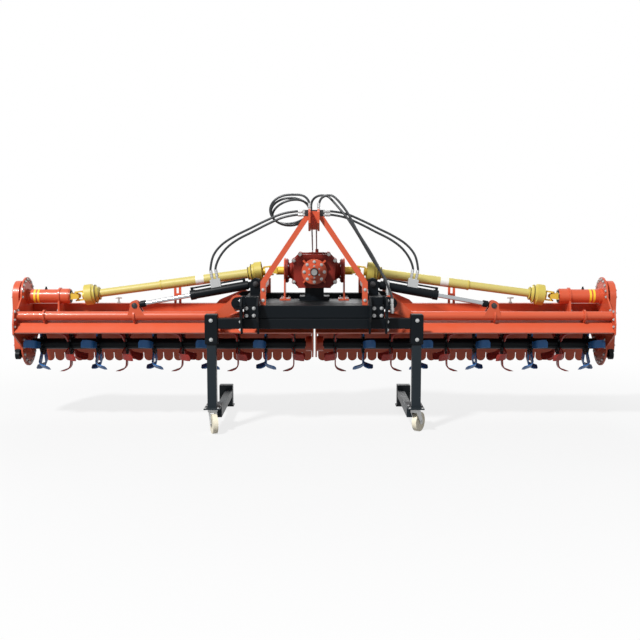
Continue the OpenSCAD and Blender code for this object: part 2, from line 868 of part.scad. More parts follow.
module stand(s) color(black) placed() sided(s) {
  box(
    [leg_x - leg_s / 2, leg_y - leg_s / 2, plate_z],
    [leg_x + leg_s / 2, leg_y + leg_s / 2, sleeve_top - 0.4]
  );
  box([leg_x - 62, leg_y - 66, plate_z], [leg_x + 62, leg_y + 225, plate_z + 10]);
  box([leg_x - 55, leg_y + 135, arm_top - 60], [leg_x + 5, foot_y + 80, arm_top]);
  box([leg_x - 55, leg_y + 135, arm_top - 5], [leg_x + 5, leg_y + 215, plate_z + 5]);
  box([leg_x - 58, foot_y, 8], [leg_x + 58, foot_y + 80, 188]);
  box([leg_x - 68, foot_y - 10, 0], [leg_x + 68, foot_back, 10]);
}

module castor_at(s) {
  turn = s > 0 ? castor_left : castor_right;
  translate([s * leg_x, leg_y, 0]) rotate([0, 0, turn]) children();
}

module castor_fork(s) color(zinc) placed() castor_at(s) {
  rod_z(38, 160, plate_z - 0.6, 0, 0);
  box([-30, -wheel_w / 2 - 9, 155], [34, wheel_w / 2 + 9, 162]);
  for (y = [-wheel_w / 2 - 9, wheel_w / 2 + 4])
    across(y, y + 5) {
      translate([trail, wheel_r]) circle(20);
      polygon([[-30, 158], [34, 158], [trail + 20, wheel_r], [trail - 20, wheel_r]]);
    }
  rod_y(8, -wheel_w / 2 - 12, wheel_w / 2 + 12, trail, wheel_r);
}

module castor_wheel(s) color(cream) placed() castor_at(s)
  difference() {
    rod_y(wheel_r, -wheel_w / 2, wheel_w / 2, trail, wheel_r);
    rod_y(8.5, -wheel_w, wheel_w, trail, wheel_r);
  }

main_beam();
centre_frame();
hitch_plates();
headstock();
mast_stays();
gearbox();
gearbox_mounts();
output_yokes();
castor_beam();
hose_block();
hose_coil();
feed_hose_a();
feed_hose_b();
hose_couplers();
fold_hose_a(1);  // fold_hose_a_left
fold_hose_a(-1);  // fold_hose_a_right
fold_hose_b(1);  // fold_hose_b_left
fold_hose_b(-1);  // fold_hose_b_right
hood(1);  // hood_left
hood(-1);  // hood_right
wing_tubes(1);  // wing_tubes_left
wing_tubes(-1);  // wing_tubes_right
rear_beam(1);  // rear_beam_left
rear_beam(-1);  // rear_beam_right
hinge_arms(1);  // hinge_arms_left
hinge_arms(-1);  // hinge_arms_right
side_plate(1);  // side_plate_left
side_plate(-1);  // side_plate_right
side_case(1);  // side_case_left
side_case(-1);  // side_case_right
input_housing(1);  // input_housing_left
input_housing(-1);  // input_housing_right
inner_plate(1);  // inner_plate_left
inner_plate(-1);  // inner_plate_right
rear_board(1);  // rear_board_left
rear_board(-1);  // rear_board_right
rotor(1);  // rotor_left
rotor(-1);  // rotor_right
fold_barrel(1);  // fold_barrel_left
fold_barrel(-1);  // fold_barrel_right
fold_rod(1);  // fold_rod_left
fold_rod(-1);  // fold_rod_right
shaft_inner(1);  // shaft_inner_left
shaft_inner(-1);  // shaft_inner_right
shaft_outer(1);  // shaft_outer_left
shaft_outer(-1);  // shaft_outer_right
stand(1);  // stand_left
stand(-1);  // stand_right
castor_fork(1);  // castor_fork_left
castor_fork(-1);  // castor_fork_right
castor_wheel(1);  // castor_wheel_left
castor_wheel(-1);  // castor_wheel_right
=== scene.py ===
import math

import bmesh
import bpy
from mathutils import Matrix, Vector


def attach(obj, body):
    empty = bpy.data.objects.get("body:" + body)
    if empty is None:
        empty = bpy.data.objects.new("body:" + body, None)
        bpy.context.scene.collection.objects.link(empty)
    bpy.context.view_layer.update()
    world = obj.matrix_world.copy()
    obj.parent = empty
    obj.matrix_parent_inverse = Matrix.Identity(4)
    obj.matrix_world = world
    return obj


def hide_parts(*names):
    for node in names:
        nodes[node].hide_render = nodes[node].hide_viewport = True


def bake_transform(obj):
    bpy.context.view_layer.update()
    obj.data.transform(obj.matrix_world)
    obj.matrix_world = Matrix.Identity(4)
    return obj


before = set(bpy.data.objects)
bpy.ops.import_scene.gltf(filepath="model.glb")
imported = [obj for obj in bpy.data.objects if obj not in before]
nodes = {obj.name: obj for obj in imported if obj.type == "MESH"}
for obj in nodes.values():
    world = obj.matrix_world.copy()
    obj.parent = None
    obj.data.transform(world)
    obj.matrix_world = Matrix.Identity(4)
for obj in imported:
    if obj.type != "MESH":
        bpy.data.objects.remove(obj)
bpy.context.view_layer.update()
scene = bpy.context.scene

# Places and sizes in metres; the rotor axis lies OY behind the middle of the machine's depth
OY = 0.0725
ROTOR_Z = 0.618
GEAR_Z = 1.217
INPUT_Z = 1.008
INPUT_R = 0.056
INPUT_L = 0.352
GUARD_R = 0.039
HALF_W = 2.425
CASE_W = 0.075
END_T = 0.012
SIDE_X = HALF_W - CASE_W - END_T
BAY_X = 0.020
STAND_X = 0.780
SIDES = (("left", 1), ("right", -1))
FORWARD = (0, -1, 0)
UP = (0, 0, 1)


def at(s, x, y, z):
    """Point on the left for s = 1 and on the right for s = -1, with y measured back from the rotor axis."""
    return Vector((s * x, OY + y, z))


def mirror_x(v, s):
    """The same point or direction on the side that s names."""
    return Vector((s * v[0], v[1], v[2]))


# Fold cylinder and drive shaft on the left
BASE = at(1, 0.456, -0.290, 1.129)
EYE = at(1, 1.404, -0.290, 0.960)
FOLD_AXIS = (EYE - BASE).normalized()
FOLD_UP = Vector((-FOLD_AXIS.z, 0, FOLD_AXIS.x))
JOINT_IN = at(1, 0.356, 0, GEAR_Z)
JOINT_OUT = at(1, 1.934, 0, INPUT_Z)

# Flanges that carry the tines, as in the part's source
FLANGES = 10
TINES = 6
FLANGE_R = 0.092
FLANGE_HALF_T = 0.006
FIRST_X = BAY_X + 0.150
LAST_X = SIDE_X - 0.112
PITCH = (LAST_X - FIRST_X) / (FLANGES - 1)


# Materials

DUST_COLOR = (0.45, 0.40, 0.33, 1.0)
ROUGH_SPREAD = 0.18


def add_node(tree, kind, values=None, **settings):
    """A shader node of that kind, with its settings and the values of its inputs."""
    made = tree.nodes.new("ShaderNode" + kind)
    for name, value in settings.items():
        setattr(made, name, value)
    for name, value in (values or {}).items():
        made.inputs[name].default_value = value
    return made


def effect_group():
    """Dust on faces that look up, and a soft grain that varies the paint."""
    g = bpy.data.node_groups.new("field_dust", "ShaderNodeTree")
    for name, kind in (("Paint", "Color"), ("Dust", "Float"), ("Gloss", "Float"), ("Bump", "Float"),
                       ("Grain", "Float")):
        g.interface.new_socket(name, in_out="INPUT", socket_type="NodeSocket" + kind)
    for name, kind in (("Color", "Color"), ("Roughness", "Float"), ("Normal", "Vector")):
        g.interface.new_socket(name, in_out="OUTPUT", socket_type="NodeSocket" + kind)
    link = g.links.new
    given = g.nodes.new("NodeGroupInput").outputs
    result = g.nodes.new("NodeGroupOutput").inputs
    place = add_node(g, "TexCoord").outputs["Object"]

    facing = add_node(g, "SeparateXYZ")
    link(add_node(g, "NewGeometry").outputs["Normal"], facing.inputs[0])
    upward = add_node(g, "MapRange", {"From Min": 0.2, "From Max": 1.0})
    link(facing.outputs["Z"], upward.inputs["Value"])
    cloud = add_node(g, "TexNoise", {"Scale": 6.0, "Detail": 6.0})
    link(place, cloud.inputs["Vector"])
    patch = add_node(g, "MapRange", {"From Min": 0.35, "From Max": 0.75})
    link(cloud.outputs["Fac"], patch.inputs["Value"])
    lying = add_node(g, "Math", operation="MULTIPLY")
    link(upward.outputs["Result"], lying.inputs[0])
    link(patch.outputs["Result"], lying.inputs[1])
    share = add_node(g, "Math", operation="MULTIPLY")
    link(lying.outputs[0], share.inputs[0])
    link(given["Dust"], share.inputs[1])
    dusty = add_node(g, "Mix", data_type="RGBA")
    dusty.inputs["B"].default_value = DUST_COLOR
    link(share.outputs[0], dusty.inputs["Factor"])
    link(given["Paint"], dusty.inputs["A"])
    link(dusty.outputs["Result"], result["Color"])

    fine = add_node(g, "TexNoise")
    link(given["Grain"], fine.inputs["Scale"])
    link(place, fine.inputs["Vector"])
    lift = add_node(g, "Bump", {"Distance": 0.002})
    link(given["Bump"], lift.inputs["Strength"])
    link(fine.outputs["Fac"], lift.inputs["Height"])
    link(lift.outputs["Normal"], result["Normal"])
    vary = add_node(g, "Math", operation="MULTIPLY_ADD")
    vary.inputs[1].default_value = ROUGH_SPREAD
    link(fine.outputs["Fac"], vary.inputs[0])
    link(given["Gloss"], vary.inputs[2])
    link(vary.outputs[0], result["Roughness"])
    return g


DUST = effect_group()


def material(name, color, rough=0.4, metal=0.0, dust=0.15, coat=0.0, bump=0.03, grain=40.0, spec=0.5):
    """Paint, metal, plastic or rubber with the shared dust and grain."""
    m = bpy.data.materials.new(name)
    m.use_nodes = True
    m.diffuse_color = (*color, 1.0)
    tree = m.node_tree
    shader = tree.nodes["Principled BSDF"]
    group = tree.nodes.new("ShaderNodeGroup")
    group.node_tree = DUST
    for socket, value in (("Paint", (*color, 1.0)), ("Dust", dust), ("Gloss", rough - ROUGH_SPREAD / 2),
                          ("Bump", bump), ("Grain", grain)):
        group.inputs[socket].default_value = value
    for output, socket in (("Color", "Base Color"), ("Roughness", "Roughness"), ("Normal", "Normal")):
        tree.links.new(group.outputs[output], shader.inputs[socket])
    for socket, value in (("Metallic", metal), ("Coat Weight", coat), ("Specular IOR Level", spec)):
        shader.inputs[socket].default_value = value
    return m


RED = material("red_paint", (0.57, 0.090, 0.036), 0.36, dust=0.06, coat=0.08, spec=0.32)
# The cast gearbox's darker red is painted shade; its bump and grain are the cast surface
SHADED_CAST_RED = material("cast_red", (0.24, 0.022, 0.013), 0.48, dust=0.06, bump=0.35, grain=90.0, spec=0.25)
BLACK = material("black_paint", (0.004, 0.006, 0.008), 0.40, dust=0.03, spec=0.10)
# The stand's lighter, bluish black is a painted sheen of sunlight on black paint
SHEEN_BLACK = material("leg_paint", (0.012, 0.018, 0.023), 0.38, dust=0.03, spec=0.18)
GREY = material("grey_paint", (0.26, 0.27, 0.28), 0.45)
CHROME = material("chrome", (0.42, 0.44, 0.46), 0.20, metal=1.0, dust=0.0)
GUARD = material("guard_plastic", (0.54, 0.46, 0.14), 0.46, dust=0.08, spec=0.35)
BELL = material("bell_plastic", (0.54, 0.44, 0.09), 0.48, dust=0.08, spec=0.35)
YOKE = material("yellow_steel", (0.70, 0.46, 0.05), 0.40, metal=0.3)
ZINC = material("zinc", (0.46, 0.47, 0.47), 0.38, metal=0.6)
STEEL = material("bolt_steel", (0.44, 0.44, 0.43), 0.38, metal=0.6)
NYLON = material("nylon", (0.80, 0.74, 0.58), 0.5)
BLUE = material("blue_paint", (0.018, 0.130, 0.37), 0.40, dust=0.06, spec=0.4)
TINE_RED = material("tine_red", (0.40, 0.035, 0.026), 0.42, dust=0.06, spec=0.4)
RUBBER = material("rubber", (0.016, 0.016, 0.017), 0.55, spec=0.3)
HOSE = material("hose_rubber", (0.022, 0.026, 0.029), 0.36, dust=0.03, bump=0.2, grain=400.0, spec=0.5)
DARK_STEEL = material("dark_steel", (0.05, 0.05, 0.053), 0.38, metal=0.8)
WHITE = material("white_band", (0.74, 0.74, 0.70), 0.45)
STRIPE = material("yellow_stripe", (0.86, 0.58, 0.03), 0.45)

FINISHES = (
    (BLACK, ("main_beam", "centre_frame", "hitch_plates", "castor_beam", "rotor", "fold_barrel")),
    (RED, ("headstock", "gearbox_mounts", "hood", "wing_tubes", "rear_beam", "hinge_arms", "side_plate",
           "side_case", "input_housing", "inner_plate", "rear_board")),
    (SHADED_CAST_RED, ("gearbox",)),
    (GREY, ("mast_stays",)),
    (SHEEN_BLACK, ("stand",)),
    (YOKE, ("output_yokes",)),
    (GUARD, ("shaft_inner", "shaft_outer")),
    (CHROME, ("fold_rod",)),
    (ZINC, ("castor_fork", "hose_couplers")),
    (NYLON, ("castor_wheel",)),
    (DARK_STEEL, ("hose_block",)),
    (RUBBER, ("hose_coil", "feed_hose_a", "feed_hose_b", "fold_hose_a", "fold_hose_b")),
)
BY_NODE = {name: finish for finish, names in FINISHES for name in names}

for name, obj in nodes.items():
    obj.data.materials.clear()
    obj.data.materials.append(BY_NODE[name.replace("_left", "").replace("_right", "")])


# Second and third colours on the faces of CAD nodes

# Along a drive shaft from its joint: the ends of the joint, of the steel inside the bell, and of the bell
JOINT_END = 0.068
THROAT_END, THROAT_R = 0.188, 0.0365
BELL_END = 0.191

# Along a fold cylinder from its base: the valve block, with its foot and half width, and the rod's eye
VALVE_FROM, VALVE_TO = 0.269, 0.351
VALVE_FOOT, VALVE_HALF_W = 0.0455, 0.0205
ROD_EYE_FROM = 0.877

# Limits of the side case's lug, of the screw on the rear beam, and of the gearbox's shaft and flange
LUG_BACK_Y, LUG_TOP_Z = -0.062, 0.585
SCREW_FROM_X, SCREW_TO_X, REAR_TOP_Z = 1.58, 1.69, 0.9385
SHAFT_BACK_Y, FLANGE_BACK_Y = -0.2205, -0.15
FACE_MARGIN = 0.001


def paint_faces(name, extra, choose):
    """Gives each face of a CAD node the material that choose(centre) picks by number."""
    mesh = nodes[name].data
    for m in extra:
        mesh.materials.append(m)
    for p in mesh.polygons:
        p.material_index = int(choose(p.center))


def tine_paint(c):
    """Blue and red tines in turn from flange to flange, on a black tube and black flanges."""
    margin = 0.0005
    inside_r = 0.05
    r = math.hypot(c.y - OY, c.z - ROTOR_Z)
    i = round((abs(c.x) - FIRST_X) / PITCH)
    off = abs(abs(c.x) - FIRST_X - i * PITCH)
    is_tine = r > FLANGE_R + margin or (off > FLANGE_HALF_T + margin and r > inside_r)
    return 2 - i % 2 if is_tine else 0


def shaft_paint(joint, other):
    """Steel joint, plastic bell and guard tube, by the distance from the joint along the shaft."""
    axis = (other - joint).normalized()

    def choose(c):
        x = (c - joint).dot(axis)
        r = (c - joint - axis * x).length
        if x < JOINT_END or (x < THROAT_END and r < THROAT_R):
            return 1
        return 2 if x < BELL_END else 0

    return choose


def housing_paint(c):
    """Yellow fork, and a black face at the inner end."""
    x = abs(c.x) - (SIDE_X - INPUT_L)
    return 1 if x < -FACE_MARGIN else 2 if x < FACE_MARGIN else 0


def valve_paint(s):
    """Bare valve block on a fold cylinder, between its two ends."""
    base, axis, up = (mirror_x(v, s) for v in (BASE, FOLD_AXIS, FOLD_UP))

    def choose(c):
        x, h = (c - base).dot(axis), (c - base).dot(up)
        return VALVE_FROM < x < VALVE_TO and h > VALVE_FOOT and abs(c.y - base.y) < VALVE_HALF_W

    return choose


def rod_paint(s):
    """Black eye end of a piston rod."""
    base, axis = mirror_x(BASE, s), mirror_x(FOLD_AXIS, s)
    return lambda c: (c - base).dot(axis) > ROD_EYE_FROM


def lug_paint(c):
    """Black lug at the lower front of a side gear case."""
    return c.y < OY + LUG_BACK_Y and c.z < LUG_TOP_Z


def adjuster_paint(c):
    """Bare screw on top of a rear beam."""
    return SCREW_FROM_X < abs(c.x) < SCREW_TO_X and c.z > REAR_TOP_Z


def gearbox_paint(c):
    """Bare shaft in front, then the flange in the plain red paint, and behind it the cast housing, whose
    darker red is painted shade.
    """
    return 1 if c.y < OY + SHAFT_BACK_Y else 2 if c.y < OY + FLANGE_BACK_Y else 0


for side, s in SIDES:
    joint_in, joint_out = mirror_x(JOINT_IN, s), mirror_x(JOINT_OUT, s)
    paint_faces("rotor_" + side, (BLUE, TINE_RED), tine_paint)
    paint_faces("shaft_inner_" + side, (YOKE, BELL), shaft_paint(joint_in, joint_out))
    paint_faces("shaft_outer_" + side, (YOKE, BELL), shaft_paint(joint_out, joint_in))
    paint_faces("side_case_" + side, (BLACK,), lug_paint)
    paint_faces("input_housing_" + side, (YOKE, BLACK), housing_paint)
    paint_faces("rear_beam_" + side, (STEEL,), adjuster_paint)
    paint_faces("fold_barrel_" + side, (ZINC,), valve_paint(s))
    paint_faces("fold_rod_" + side, (BLACK,), rod_paint(s))
paint_faces("gearbox", (STEEL, RED), gearbox_paint)


def round_edges(name, width):
    """Rounds the sharp edges of a CAD node a little, so that they catch the light."""
    weld = nodes[name].modifiers.new("weld", "WELD")
    weld.merge_threshold = 0.00001
    bevel = nodes[name].modifiers.new("edges", "BEVEL")
    bevel.limit_method = "ANGLE"
    bevel.angle_limit = math.radians(50)
    bevel.width = width
    bevel.segments = 3


for name in ("main_beam", "castor_beam"):
    round_edges(name, 0.008)
for side, s in SIDES:
    round_edges("stand_" + side, 0.006)
    round_edges("rear_beam_" + side, 0.006)


# How bolts, bands and other small pieces are made


def mesh_piece(name, bm, mat, body, smooth=True):
    """A new object from bm, in the row frame, riding on body if one is named."""
    bmesh.ops.recalc_face_normals(bm, faces=bm.faces)
    mesh = bpy.data.meshes.new(name)
    bm.to_mesh(mesh)
    bm.free()
    mesh.materials.append(mat)
    for p in mesh.polygons:
        p.use_smooth = smooth
    obj = bpy.data.objects.new(name, mesh)
    scene.collection.objects.link(obj)
    if smooth:
        mesh.set_sharp_from_angle(angle=math.radians(35))
    if body:
        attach(obj, body)
    return obj


def aim(axis):
    """Turn that takes +Z to axis."""
    return Vector(axis).to_track_quat("Z", "Y").to_matrix().to_4x4()


def add_disc(bm, place, axis, r, h, sides, bevel=0.0):
    """A closed prism or cylinder that stands on place and rises h along axis; bevel rounds its top edge."""
    n = Vector(axis).normalized()
    turn = Matrix.Translation(place) @ aim(n) @ Matrix.Translation((0, 0, h / 2))
    made = bmesh.ops.create_cone(bm, cap_ends=True, segments=sides, radius1=r, radius2=r, depth=h,
                                 matrix=turn)
    if bevel:
        top = Vector(place) + n * h
        rim = [v for v in made["verts"] if (v.co - top).dot(n) > -1e-5]
        edges = dict.fromkeys(e for v in rim for e in v.link_edges if e.other_vert(v) in rim)
        bmesh.ops.bevel(bm, geom=list(edges), offset=bevel, offset_type="OFFSET", segments=2, profile=0.5,
                        affect="EDGES", material=-1)


def add_bolt(bm, place, axis, r):
    """Hexagon head of corner radius r on a washer, with the screw's end on top."""
    n = Vector(axis).normalized()
    add_disc(bm, place, n, r * 1.25, r * 0.22, 20)
    add_disc(bm, place + n * r * 0.2, n, r, r * 0.62, 6, r * 0.12)
    add_disc(bm, place + n * r * 0.7, n, r * 0.52, r * 0.42, 12, r * 0.08)


def bolts(name, places, axis, r, mat, body):
    """One piece with a bolt at each place."""
    bm = bmesh.new()
    for p in places:
        add_bolt(bm, p, axis, r)
    mesh_piece(name, bm, mat, body)


def ring_places(centre, axis, r, angles):
    """Points at those angles, in degrees, on a circle round +X or -Y."""
    places = []
    for a in angles:
        c, d = r * math.cos(math.radians(a)), r * math.sin(math.radians(a))
        places.append(centre + (Vector((0, c, d)) if axis == "X" else Vector((c, 0, d))))
    return places


def round_band(name, place, axis, r, length, wall, mat, body):
    """A short sleeve of that wall on a round piece of radius r, from place on along axis."""
    n = Vector(axis).normalized()
    out = n.orthogonal().normalized()
    sunk = 0.0006
    bm = bmesh.new()
    corners = ((r - sunk, 0), (r + wall, 0), (r + wall, length), (r - sunk, length))
    verts = [bm.verts.new(place + out * a + n * b) for a, b in corners]
    edges = [bm.edges.new((verts[k], verts[(k + 1) % 4])) for k in range(4)]
    bmesh.ops.spin(bm, geom=verts + edges, cent=place, axis=n, angle=2 * math.pi, steps=48, use_merge=True)
    mesh_piece(name, bm, mat, body)


# Hoses

HOSE_R = 0.009
FOLD_A = [(70, -435, 1662), (140, -435, 1662), (245, -428, 1640), (360, -412, 1590), (475, -388, 1532),
          (590, -352, 1474), (680, -318, 1408), (742, -298, 1328)]
FOLD_B = [(70, -435, 1688), (140, -435, 1688), (250, -428, 1668), (370, -412, 1618), (490, -388, 1560),
          (610, -352, 1502), (715, -318, 1435), (785, -298, 1350)]
FEED_START = [(-35, -435, 1700), (-35, -435, 1736), (-41, -433, 1765), (-57, -428, 1789), (-81, -422, 1806),
              (-112, -416, 1814), (-146, -413, 1815)]
FEED_A = [(-23, -355, 1730), (-18, -357, 1760), (-1, -363, 1787), (27, -372, 1805), (60, -383, 1811),
          (93, -395, 1806), (122, -408, 1789), (180, -441, 1724), (255, -484, 1632), (340, -515, 1500),
          (425, -543, 1352), (490, -561, 1252), (536, -572, 1186), (553, -575, 1148), (555, -575, 1120)]
FEED_B = [(35, -435, 1700), (35, -435, 1735), (57, -440, 1788), (110, -452, 1810), (163, -470, 1788),
          (250, -508, 1680), (330, -541, 1530), (430, -570, 1370), (520, -592, 1200), (568, -605, 1095),
          (585, -606, 1035), (585, -606, 985)]

# The coil beside the mast: middle, half width and half height, turns in degrees, depth, lean, slack and hang
COIL_MID = at(1, -0.180, 0, 1.700)
COIL_RX = 0.157
COIL_R = 0.115
COIL_FROM = 90
COIL_TO = 1080
COIL_Y = (-0.412, -0.354)
COIL_LEAN = math.radians(46)
COIL_SLACK = 0.018
COIL_HANG = 0.022
COIL_POINTS = 54

# Points of the smooth line for each point of a route
FOLD_STEPS = 5
COIL_STEPS = 4
FEED_STEPS = 5

# The stubs on a barrel, along its axis, and the heights at which a hose comes down on them
STUB_A, STUB_B = 0.290, 0.330
STUB_ABOVE, STUB_TOP = 0.172, 0.1123


def row(points, s=1):
    """Route points in millimetres, with y from the rotor axis, as row frame points in metres."""
    return [at(s, x / 1000, y / 1000, z / 1000) for x, y, z in points]


def on_barrel(s, x, h):
    """Point at x along a fold cylinder and h above its axis."""
    return mirror_x(BASE + FOLD_AXIS * x + FOLD_UP * h, s)


def smooth_line(points, steps):
    """Curve through the points, with straight runs at both ends."""
    ends = [points[0] * 2 - points[1]] + list(points) + [points[-1] * 2 - points[-2]]
    line = []
    for i in range(1, len(ends) - 2):
        p0, p1, p2, p3 = ends[i - 1:i + 3]
        for k in range(steps):
            t = k / steps
            line.append(0.5 * (2 * p1 + (p2 - p0) * t + (2 * p0 - 5 * p1 + 4 * p2 - p3) * t * t
                               + (3 * p1 - p0 - 3 * p2 + p3) * t ** 3))
    line.append(points[-1].copy())
    return line


def coil_line(count):
    """The hose's turns beside the mast, from the top on round to the right; the middle ones lean and hang."""
    line = []
    for i in range(count + 1):
        f = i / count
        a = math.radians(COIL_FROM + (COIL_TO - COIL_FROM) * f)
        loose = math.sin(math.pi * f) ** 2
        up = COIL_R * math.sin(a)
        x = (COIL_RX - COIL_SLACK * loose) * math.cos(a)
        y = COIL_Y[0] + (COIL_Y[1] - COIL_Y[0]) * (1 - (1 - f) ** 3) - up * math.sin(COIL_LEAN * loose)
        z = up * math.cos(COIL_LEAN * loose) + COIL_HANG * (math.cos(a) - 1) * loose
        line.append(COIL_MID + Vector((x, y, z)))
    return line


def hose_mesh(name, line):
    """Hose along a line, one ring a point, each ring turned on from the last so that it doesn't twist."""
    sides = 16
    bm = bmesh.new()
    across = Vector((0, 1, 0))
    rings = []
    for i, p in enumerate(line):
        t = (line[min(i + 1, len(line) - 1)] - line[max(i - 1, 0)]).normalized()
        across = (across - t * across.dot(t)).normalized()
        turn = Matrix.Translation(p) @ Matrix((across, t.cross(across), t)).transposed().to_4x4()
        made = bmesh.ops.create_circle(bm, segments=sides, radius=HOSE_R, cap_ends=False, matrix=turn)
        rings.append(list(dict.fromkeys(e for v in made["verts"] for e in v.link_edges)))
    for a, b in zip(rings, rings[1:]):
        bmesh.ops.bridge_loops(bm, edges=a + b)
    bmesh.ops.holes_fill(bm, edges=rings[0] + rings[-1], sides=sides)
    return mesh_piece(name, bm, HOSE, None)


def ferrule(name, place, axis, body):
    """Nut, neck and crimped sleeve on a hose's end, from place out along the hose."""
    n = Vector(axis).normalized()
    nut, neck, crimp = 0.013, 0.007, 0.008
    bm = bmesh.new()
    add_disc(bm, place, n, 0.0135, nut, 6, 0.001)
    add_disc(bm, place + n * nut, n, 0.0098, neck + 0.001, 20)
    for k in range(4):
        add_disc(bm, place + n * (nut + neck + k * crimp), n, 0.0121 - 0.0004 * (k % 2), crimp + 0.0001, 20,
                 0.0008)
    return mesh_piece(name, bm, ZINC, body)


for side, s in SIDES:
    for letter, route, x in (("a", FOLD_A, STUB_A), ("b", FOLD_B, STUB_B)):
        points = row(route, s) + [on_barrel(s, x, STUB_ABOVE), on_barrel(s, x, STUB_TOP)]
        line = smooth_line(points, FOLD_STEPS)
        name = f"fold_hose_{letter}_{side}"
        hose = hose_mesh(name + "_skin", line)
        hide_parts(name)
        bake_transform(hose)
        ferrule(name + "_block_end", points[0], (s, 0, 0), "frame")
        ferrule(name + "_barrel_end", points[-1], points[-2] - points[-1], "barrel_" + side)

feed_a = smooth_line(row(FEED_START) + coil_line(COIL_POINTS) + row(FEED_A), COIL_STEPS)
hose = hose_mesh("feed_hose_a_skin", feed_a)
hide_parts("feed_hose_a", "hose_coil")
free_end = ferrule("feed_a_free_end", feed_a[-1], UP, "frame")
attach(hose, "frame")

feed_b = smooth_line(row(FEED_B), FEED_STEPS)
hose = hose_mesh("feed_hose_b_skin", feed_b)
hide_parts("feed_hose_b")
free_end = ferrule("feed_b_free_end", feed_b[-1], UP, "frame")
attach(hose, "frame")

for letter, line in (("a", feed_a), ("b", feed_b)):
    ferrule(f"feed_{letter}_block_end", line[0], UP, "frame")


# Painted bands, seals and breathers on the side drives and the shaft guards

# Inward from the side plate: the stripes and the breather
STRIPES_IN = (0.076, 0.106)
STRIPE_W = 0.017
BREATHER_IN = 0.150

# Dark bands on each bell of a drive shaft, painted shade of the gaps between its ribs: the distance from its
# joint, and the bell's radius there
BELL_SHADE_BANDS = ((0.1525, 0.074), (0.1805, 0.053))
SHADE_BAND_W = 0.005

# Along a drive shaft from its inner joint: the white band, left and right, and the lip
GUARD_BAND = {1: 0.672, -1: 0.546}
GUARD_LIP = 0.896

# Thickness of the stripes and of the bells' painted shade bands
BAND_T = 0.0009

for side, s in SIDES:
    wing = "wing_" + side
    outward = Vector((s, 0, 0))
    for k, x in enumerate(STRIPES_IN):
        start = at(s, SIDE_X - x, 0, INPUT_Z)
        round_band(f"stripe_{k}_{side}", start, outward, INPUT_R, STRIPE_W, BAND_T, STRIPE, wing)
    start = at(s, SIDE_X - INPUT_L - 0.004, 0, INPUT_Z)
    round_band("seal_" + side, start, outward, 0.034, 0.006, 0.008, RUBBER, wing)

    bm = bmesh.new()
    top = at(s, SIDE_X - BREATHER_IN, 0, INPUT_Z + INPUT_R - 0.002)
    add_disc(bm, top, UP, 0.011, 0.010, 6, 0.001)
    add_disc(bm, top + Vector((0, 0, 0.010)), UP, 0.007, 0.014, 16, 0.002)
    mesh_piece("breather_" + side, bm, BLACK, wing)

    inner = "shaft_in_" + side
    joint_in, joint_out = mirror_x(JOINT_IN, s), mirror_x(JOINT_OUT, s)
    along = (joint_out - joint_in).normalized()
    start = joint_in + along * GUARD_BAND[s]
    round_band("guard_band_" + side, start, along, GUARD_R, 0.068, 0.0008, WHITE, inner)
    for end, joint, way in (("in", joint_in, along), ("out", joint_out, -along)):
        # Thin dark bands on the bells are painted shade of the gaps between their ribs
        for k, (x, r) in enumerate(BELL_SHADE_BANDS):
            round_band(f"bell_clamp_{end}_{k}_{side}", joint + way * x, way, r, SHADE_BAND_W, BAND_T, RUBBER,
                       f"shaft_{end}_{side}")
    start = joint_in + along * GUARD_LIP
    round_band("guard_lip_" + side, start, along, GUARD_R, 0.012, 0.003, BELL, inner)


# Bolts and pins on the wings

PLATE_EDGE = ((-0.335, 0.912), (-0.258, 0.913), (-0.345, 0.850), (-0.350, 0.795))
COVER_EDGE = [(y, z) for y in (-0.104, 0.104) for z in (0.72, 0.80, 0.88)]

for side, s in SIDES:
    wing = "wing_" + side
    inward, outward = (-s, 0, 0), (s, 0, 0)
    plate = ring_places(at(s, SIDE_X, 0, INPUT_Z), "X", 0.136, range(-10, 200, 21))
    plate += ring_places(at(s, SIDE_X, 0, ROTOR_Z), "X", 0.150, range(160, 400, 24))
    plate += [at(s, SIDE_X, y, z) for y, z in PLATE_EDGE]
    bolts("plate_bolts_" + side, plate, inward, 0.0105, STEEL, wing)
    cover = ring_places(at(s, HALF_W, 0, INPUT_Z), "X", 0.108, range(0, 181, 30))
    cover += ring_places(at(s, HALF_W, 0, ROTOR_Z), "X", 0.100, range(180, 361, 30))
    cover += [at(s, HALF_W, y, z) for y, z in COVER_EDGE]
    bolts("cover_bolts_" + side, cover, outward, 0.009, STEEL, wing)
    collar = ring_places(at(s, SIDE_X - INPUT_L, 0, INPUT_Z), "X", 0.049, range(30, 390, 60))
    bolts("collar_bolts_" + side, collar, inward, 0.0045, STEEL, wing)
    foot = [at(s, SIDE_X - 0.258, y, 0.895) for y in (-0.055, 0.055)]
    bolts("foot_bolts_" + side, foot, outward, 0.009, STEEL, wing)
    for name, place, out, body in (("eye_pin_", EYE, 0.036, wing), ("base_pin_", BASE, 0.045, "frame")):
        bm = bmesh.new()
        pin = mirror_x(place, s) - Vector((0, out, 0))
        add_disc(bm, pin, FORWARD, 0.022, 0.005, 28, 0.001)
        add_disc(bm, pin - Vector((0, 0.005, 0)), FORWARD, 0.014, 0.009, 24, 0.003)
        mesh_piece(name + side, bm, DARK_STEEL, body)


# Tine bolts: one tine's pair on both faces of the first flange, copied round it and from flange to flange


def copy_of(bm, geom):
    """Vertices of a copy of that geometry."""
    made = bmesh.ops.duplicate(bm, geom=geom)
    return [v for v in made["geom"] if isinstance(v, bmesh.types.BMVert)]


def turn_round(bm, centre, degrees, verts):
    """Turns the vertices about the rotor axis."""
    bmesh.ops.rotate(bm, cent=centre, matrix=Matrix.Rotation(math.radians(degrees), 3, "X"), verts=verts)


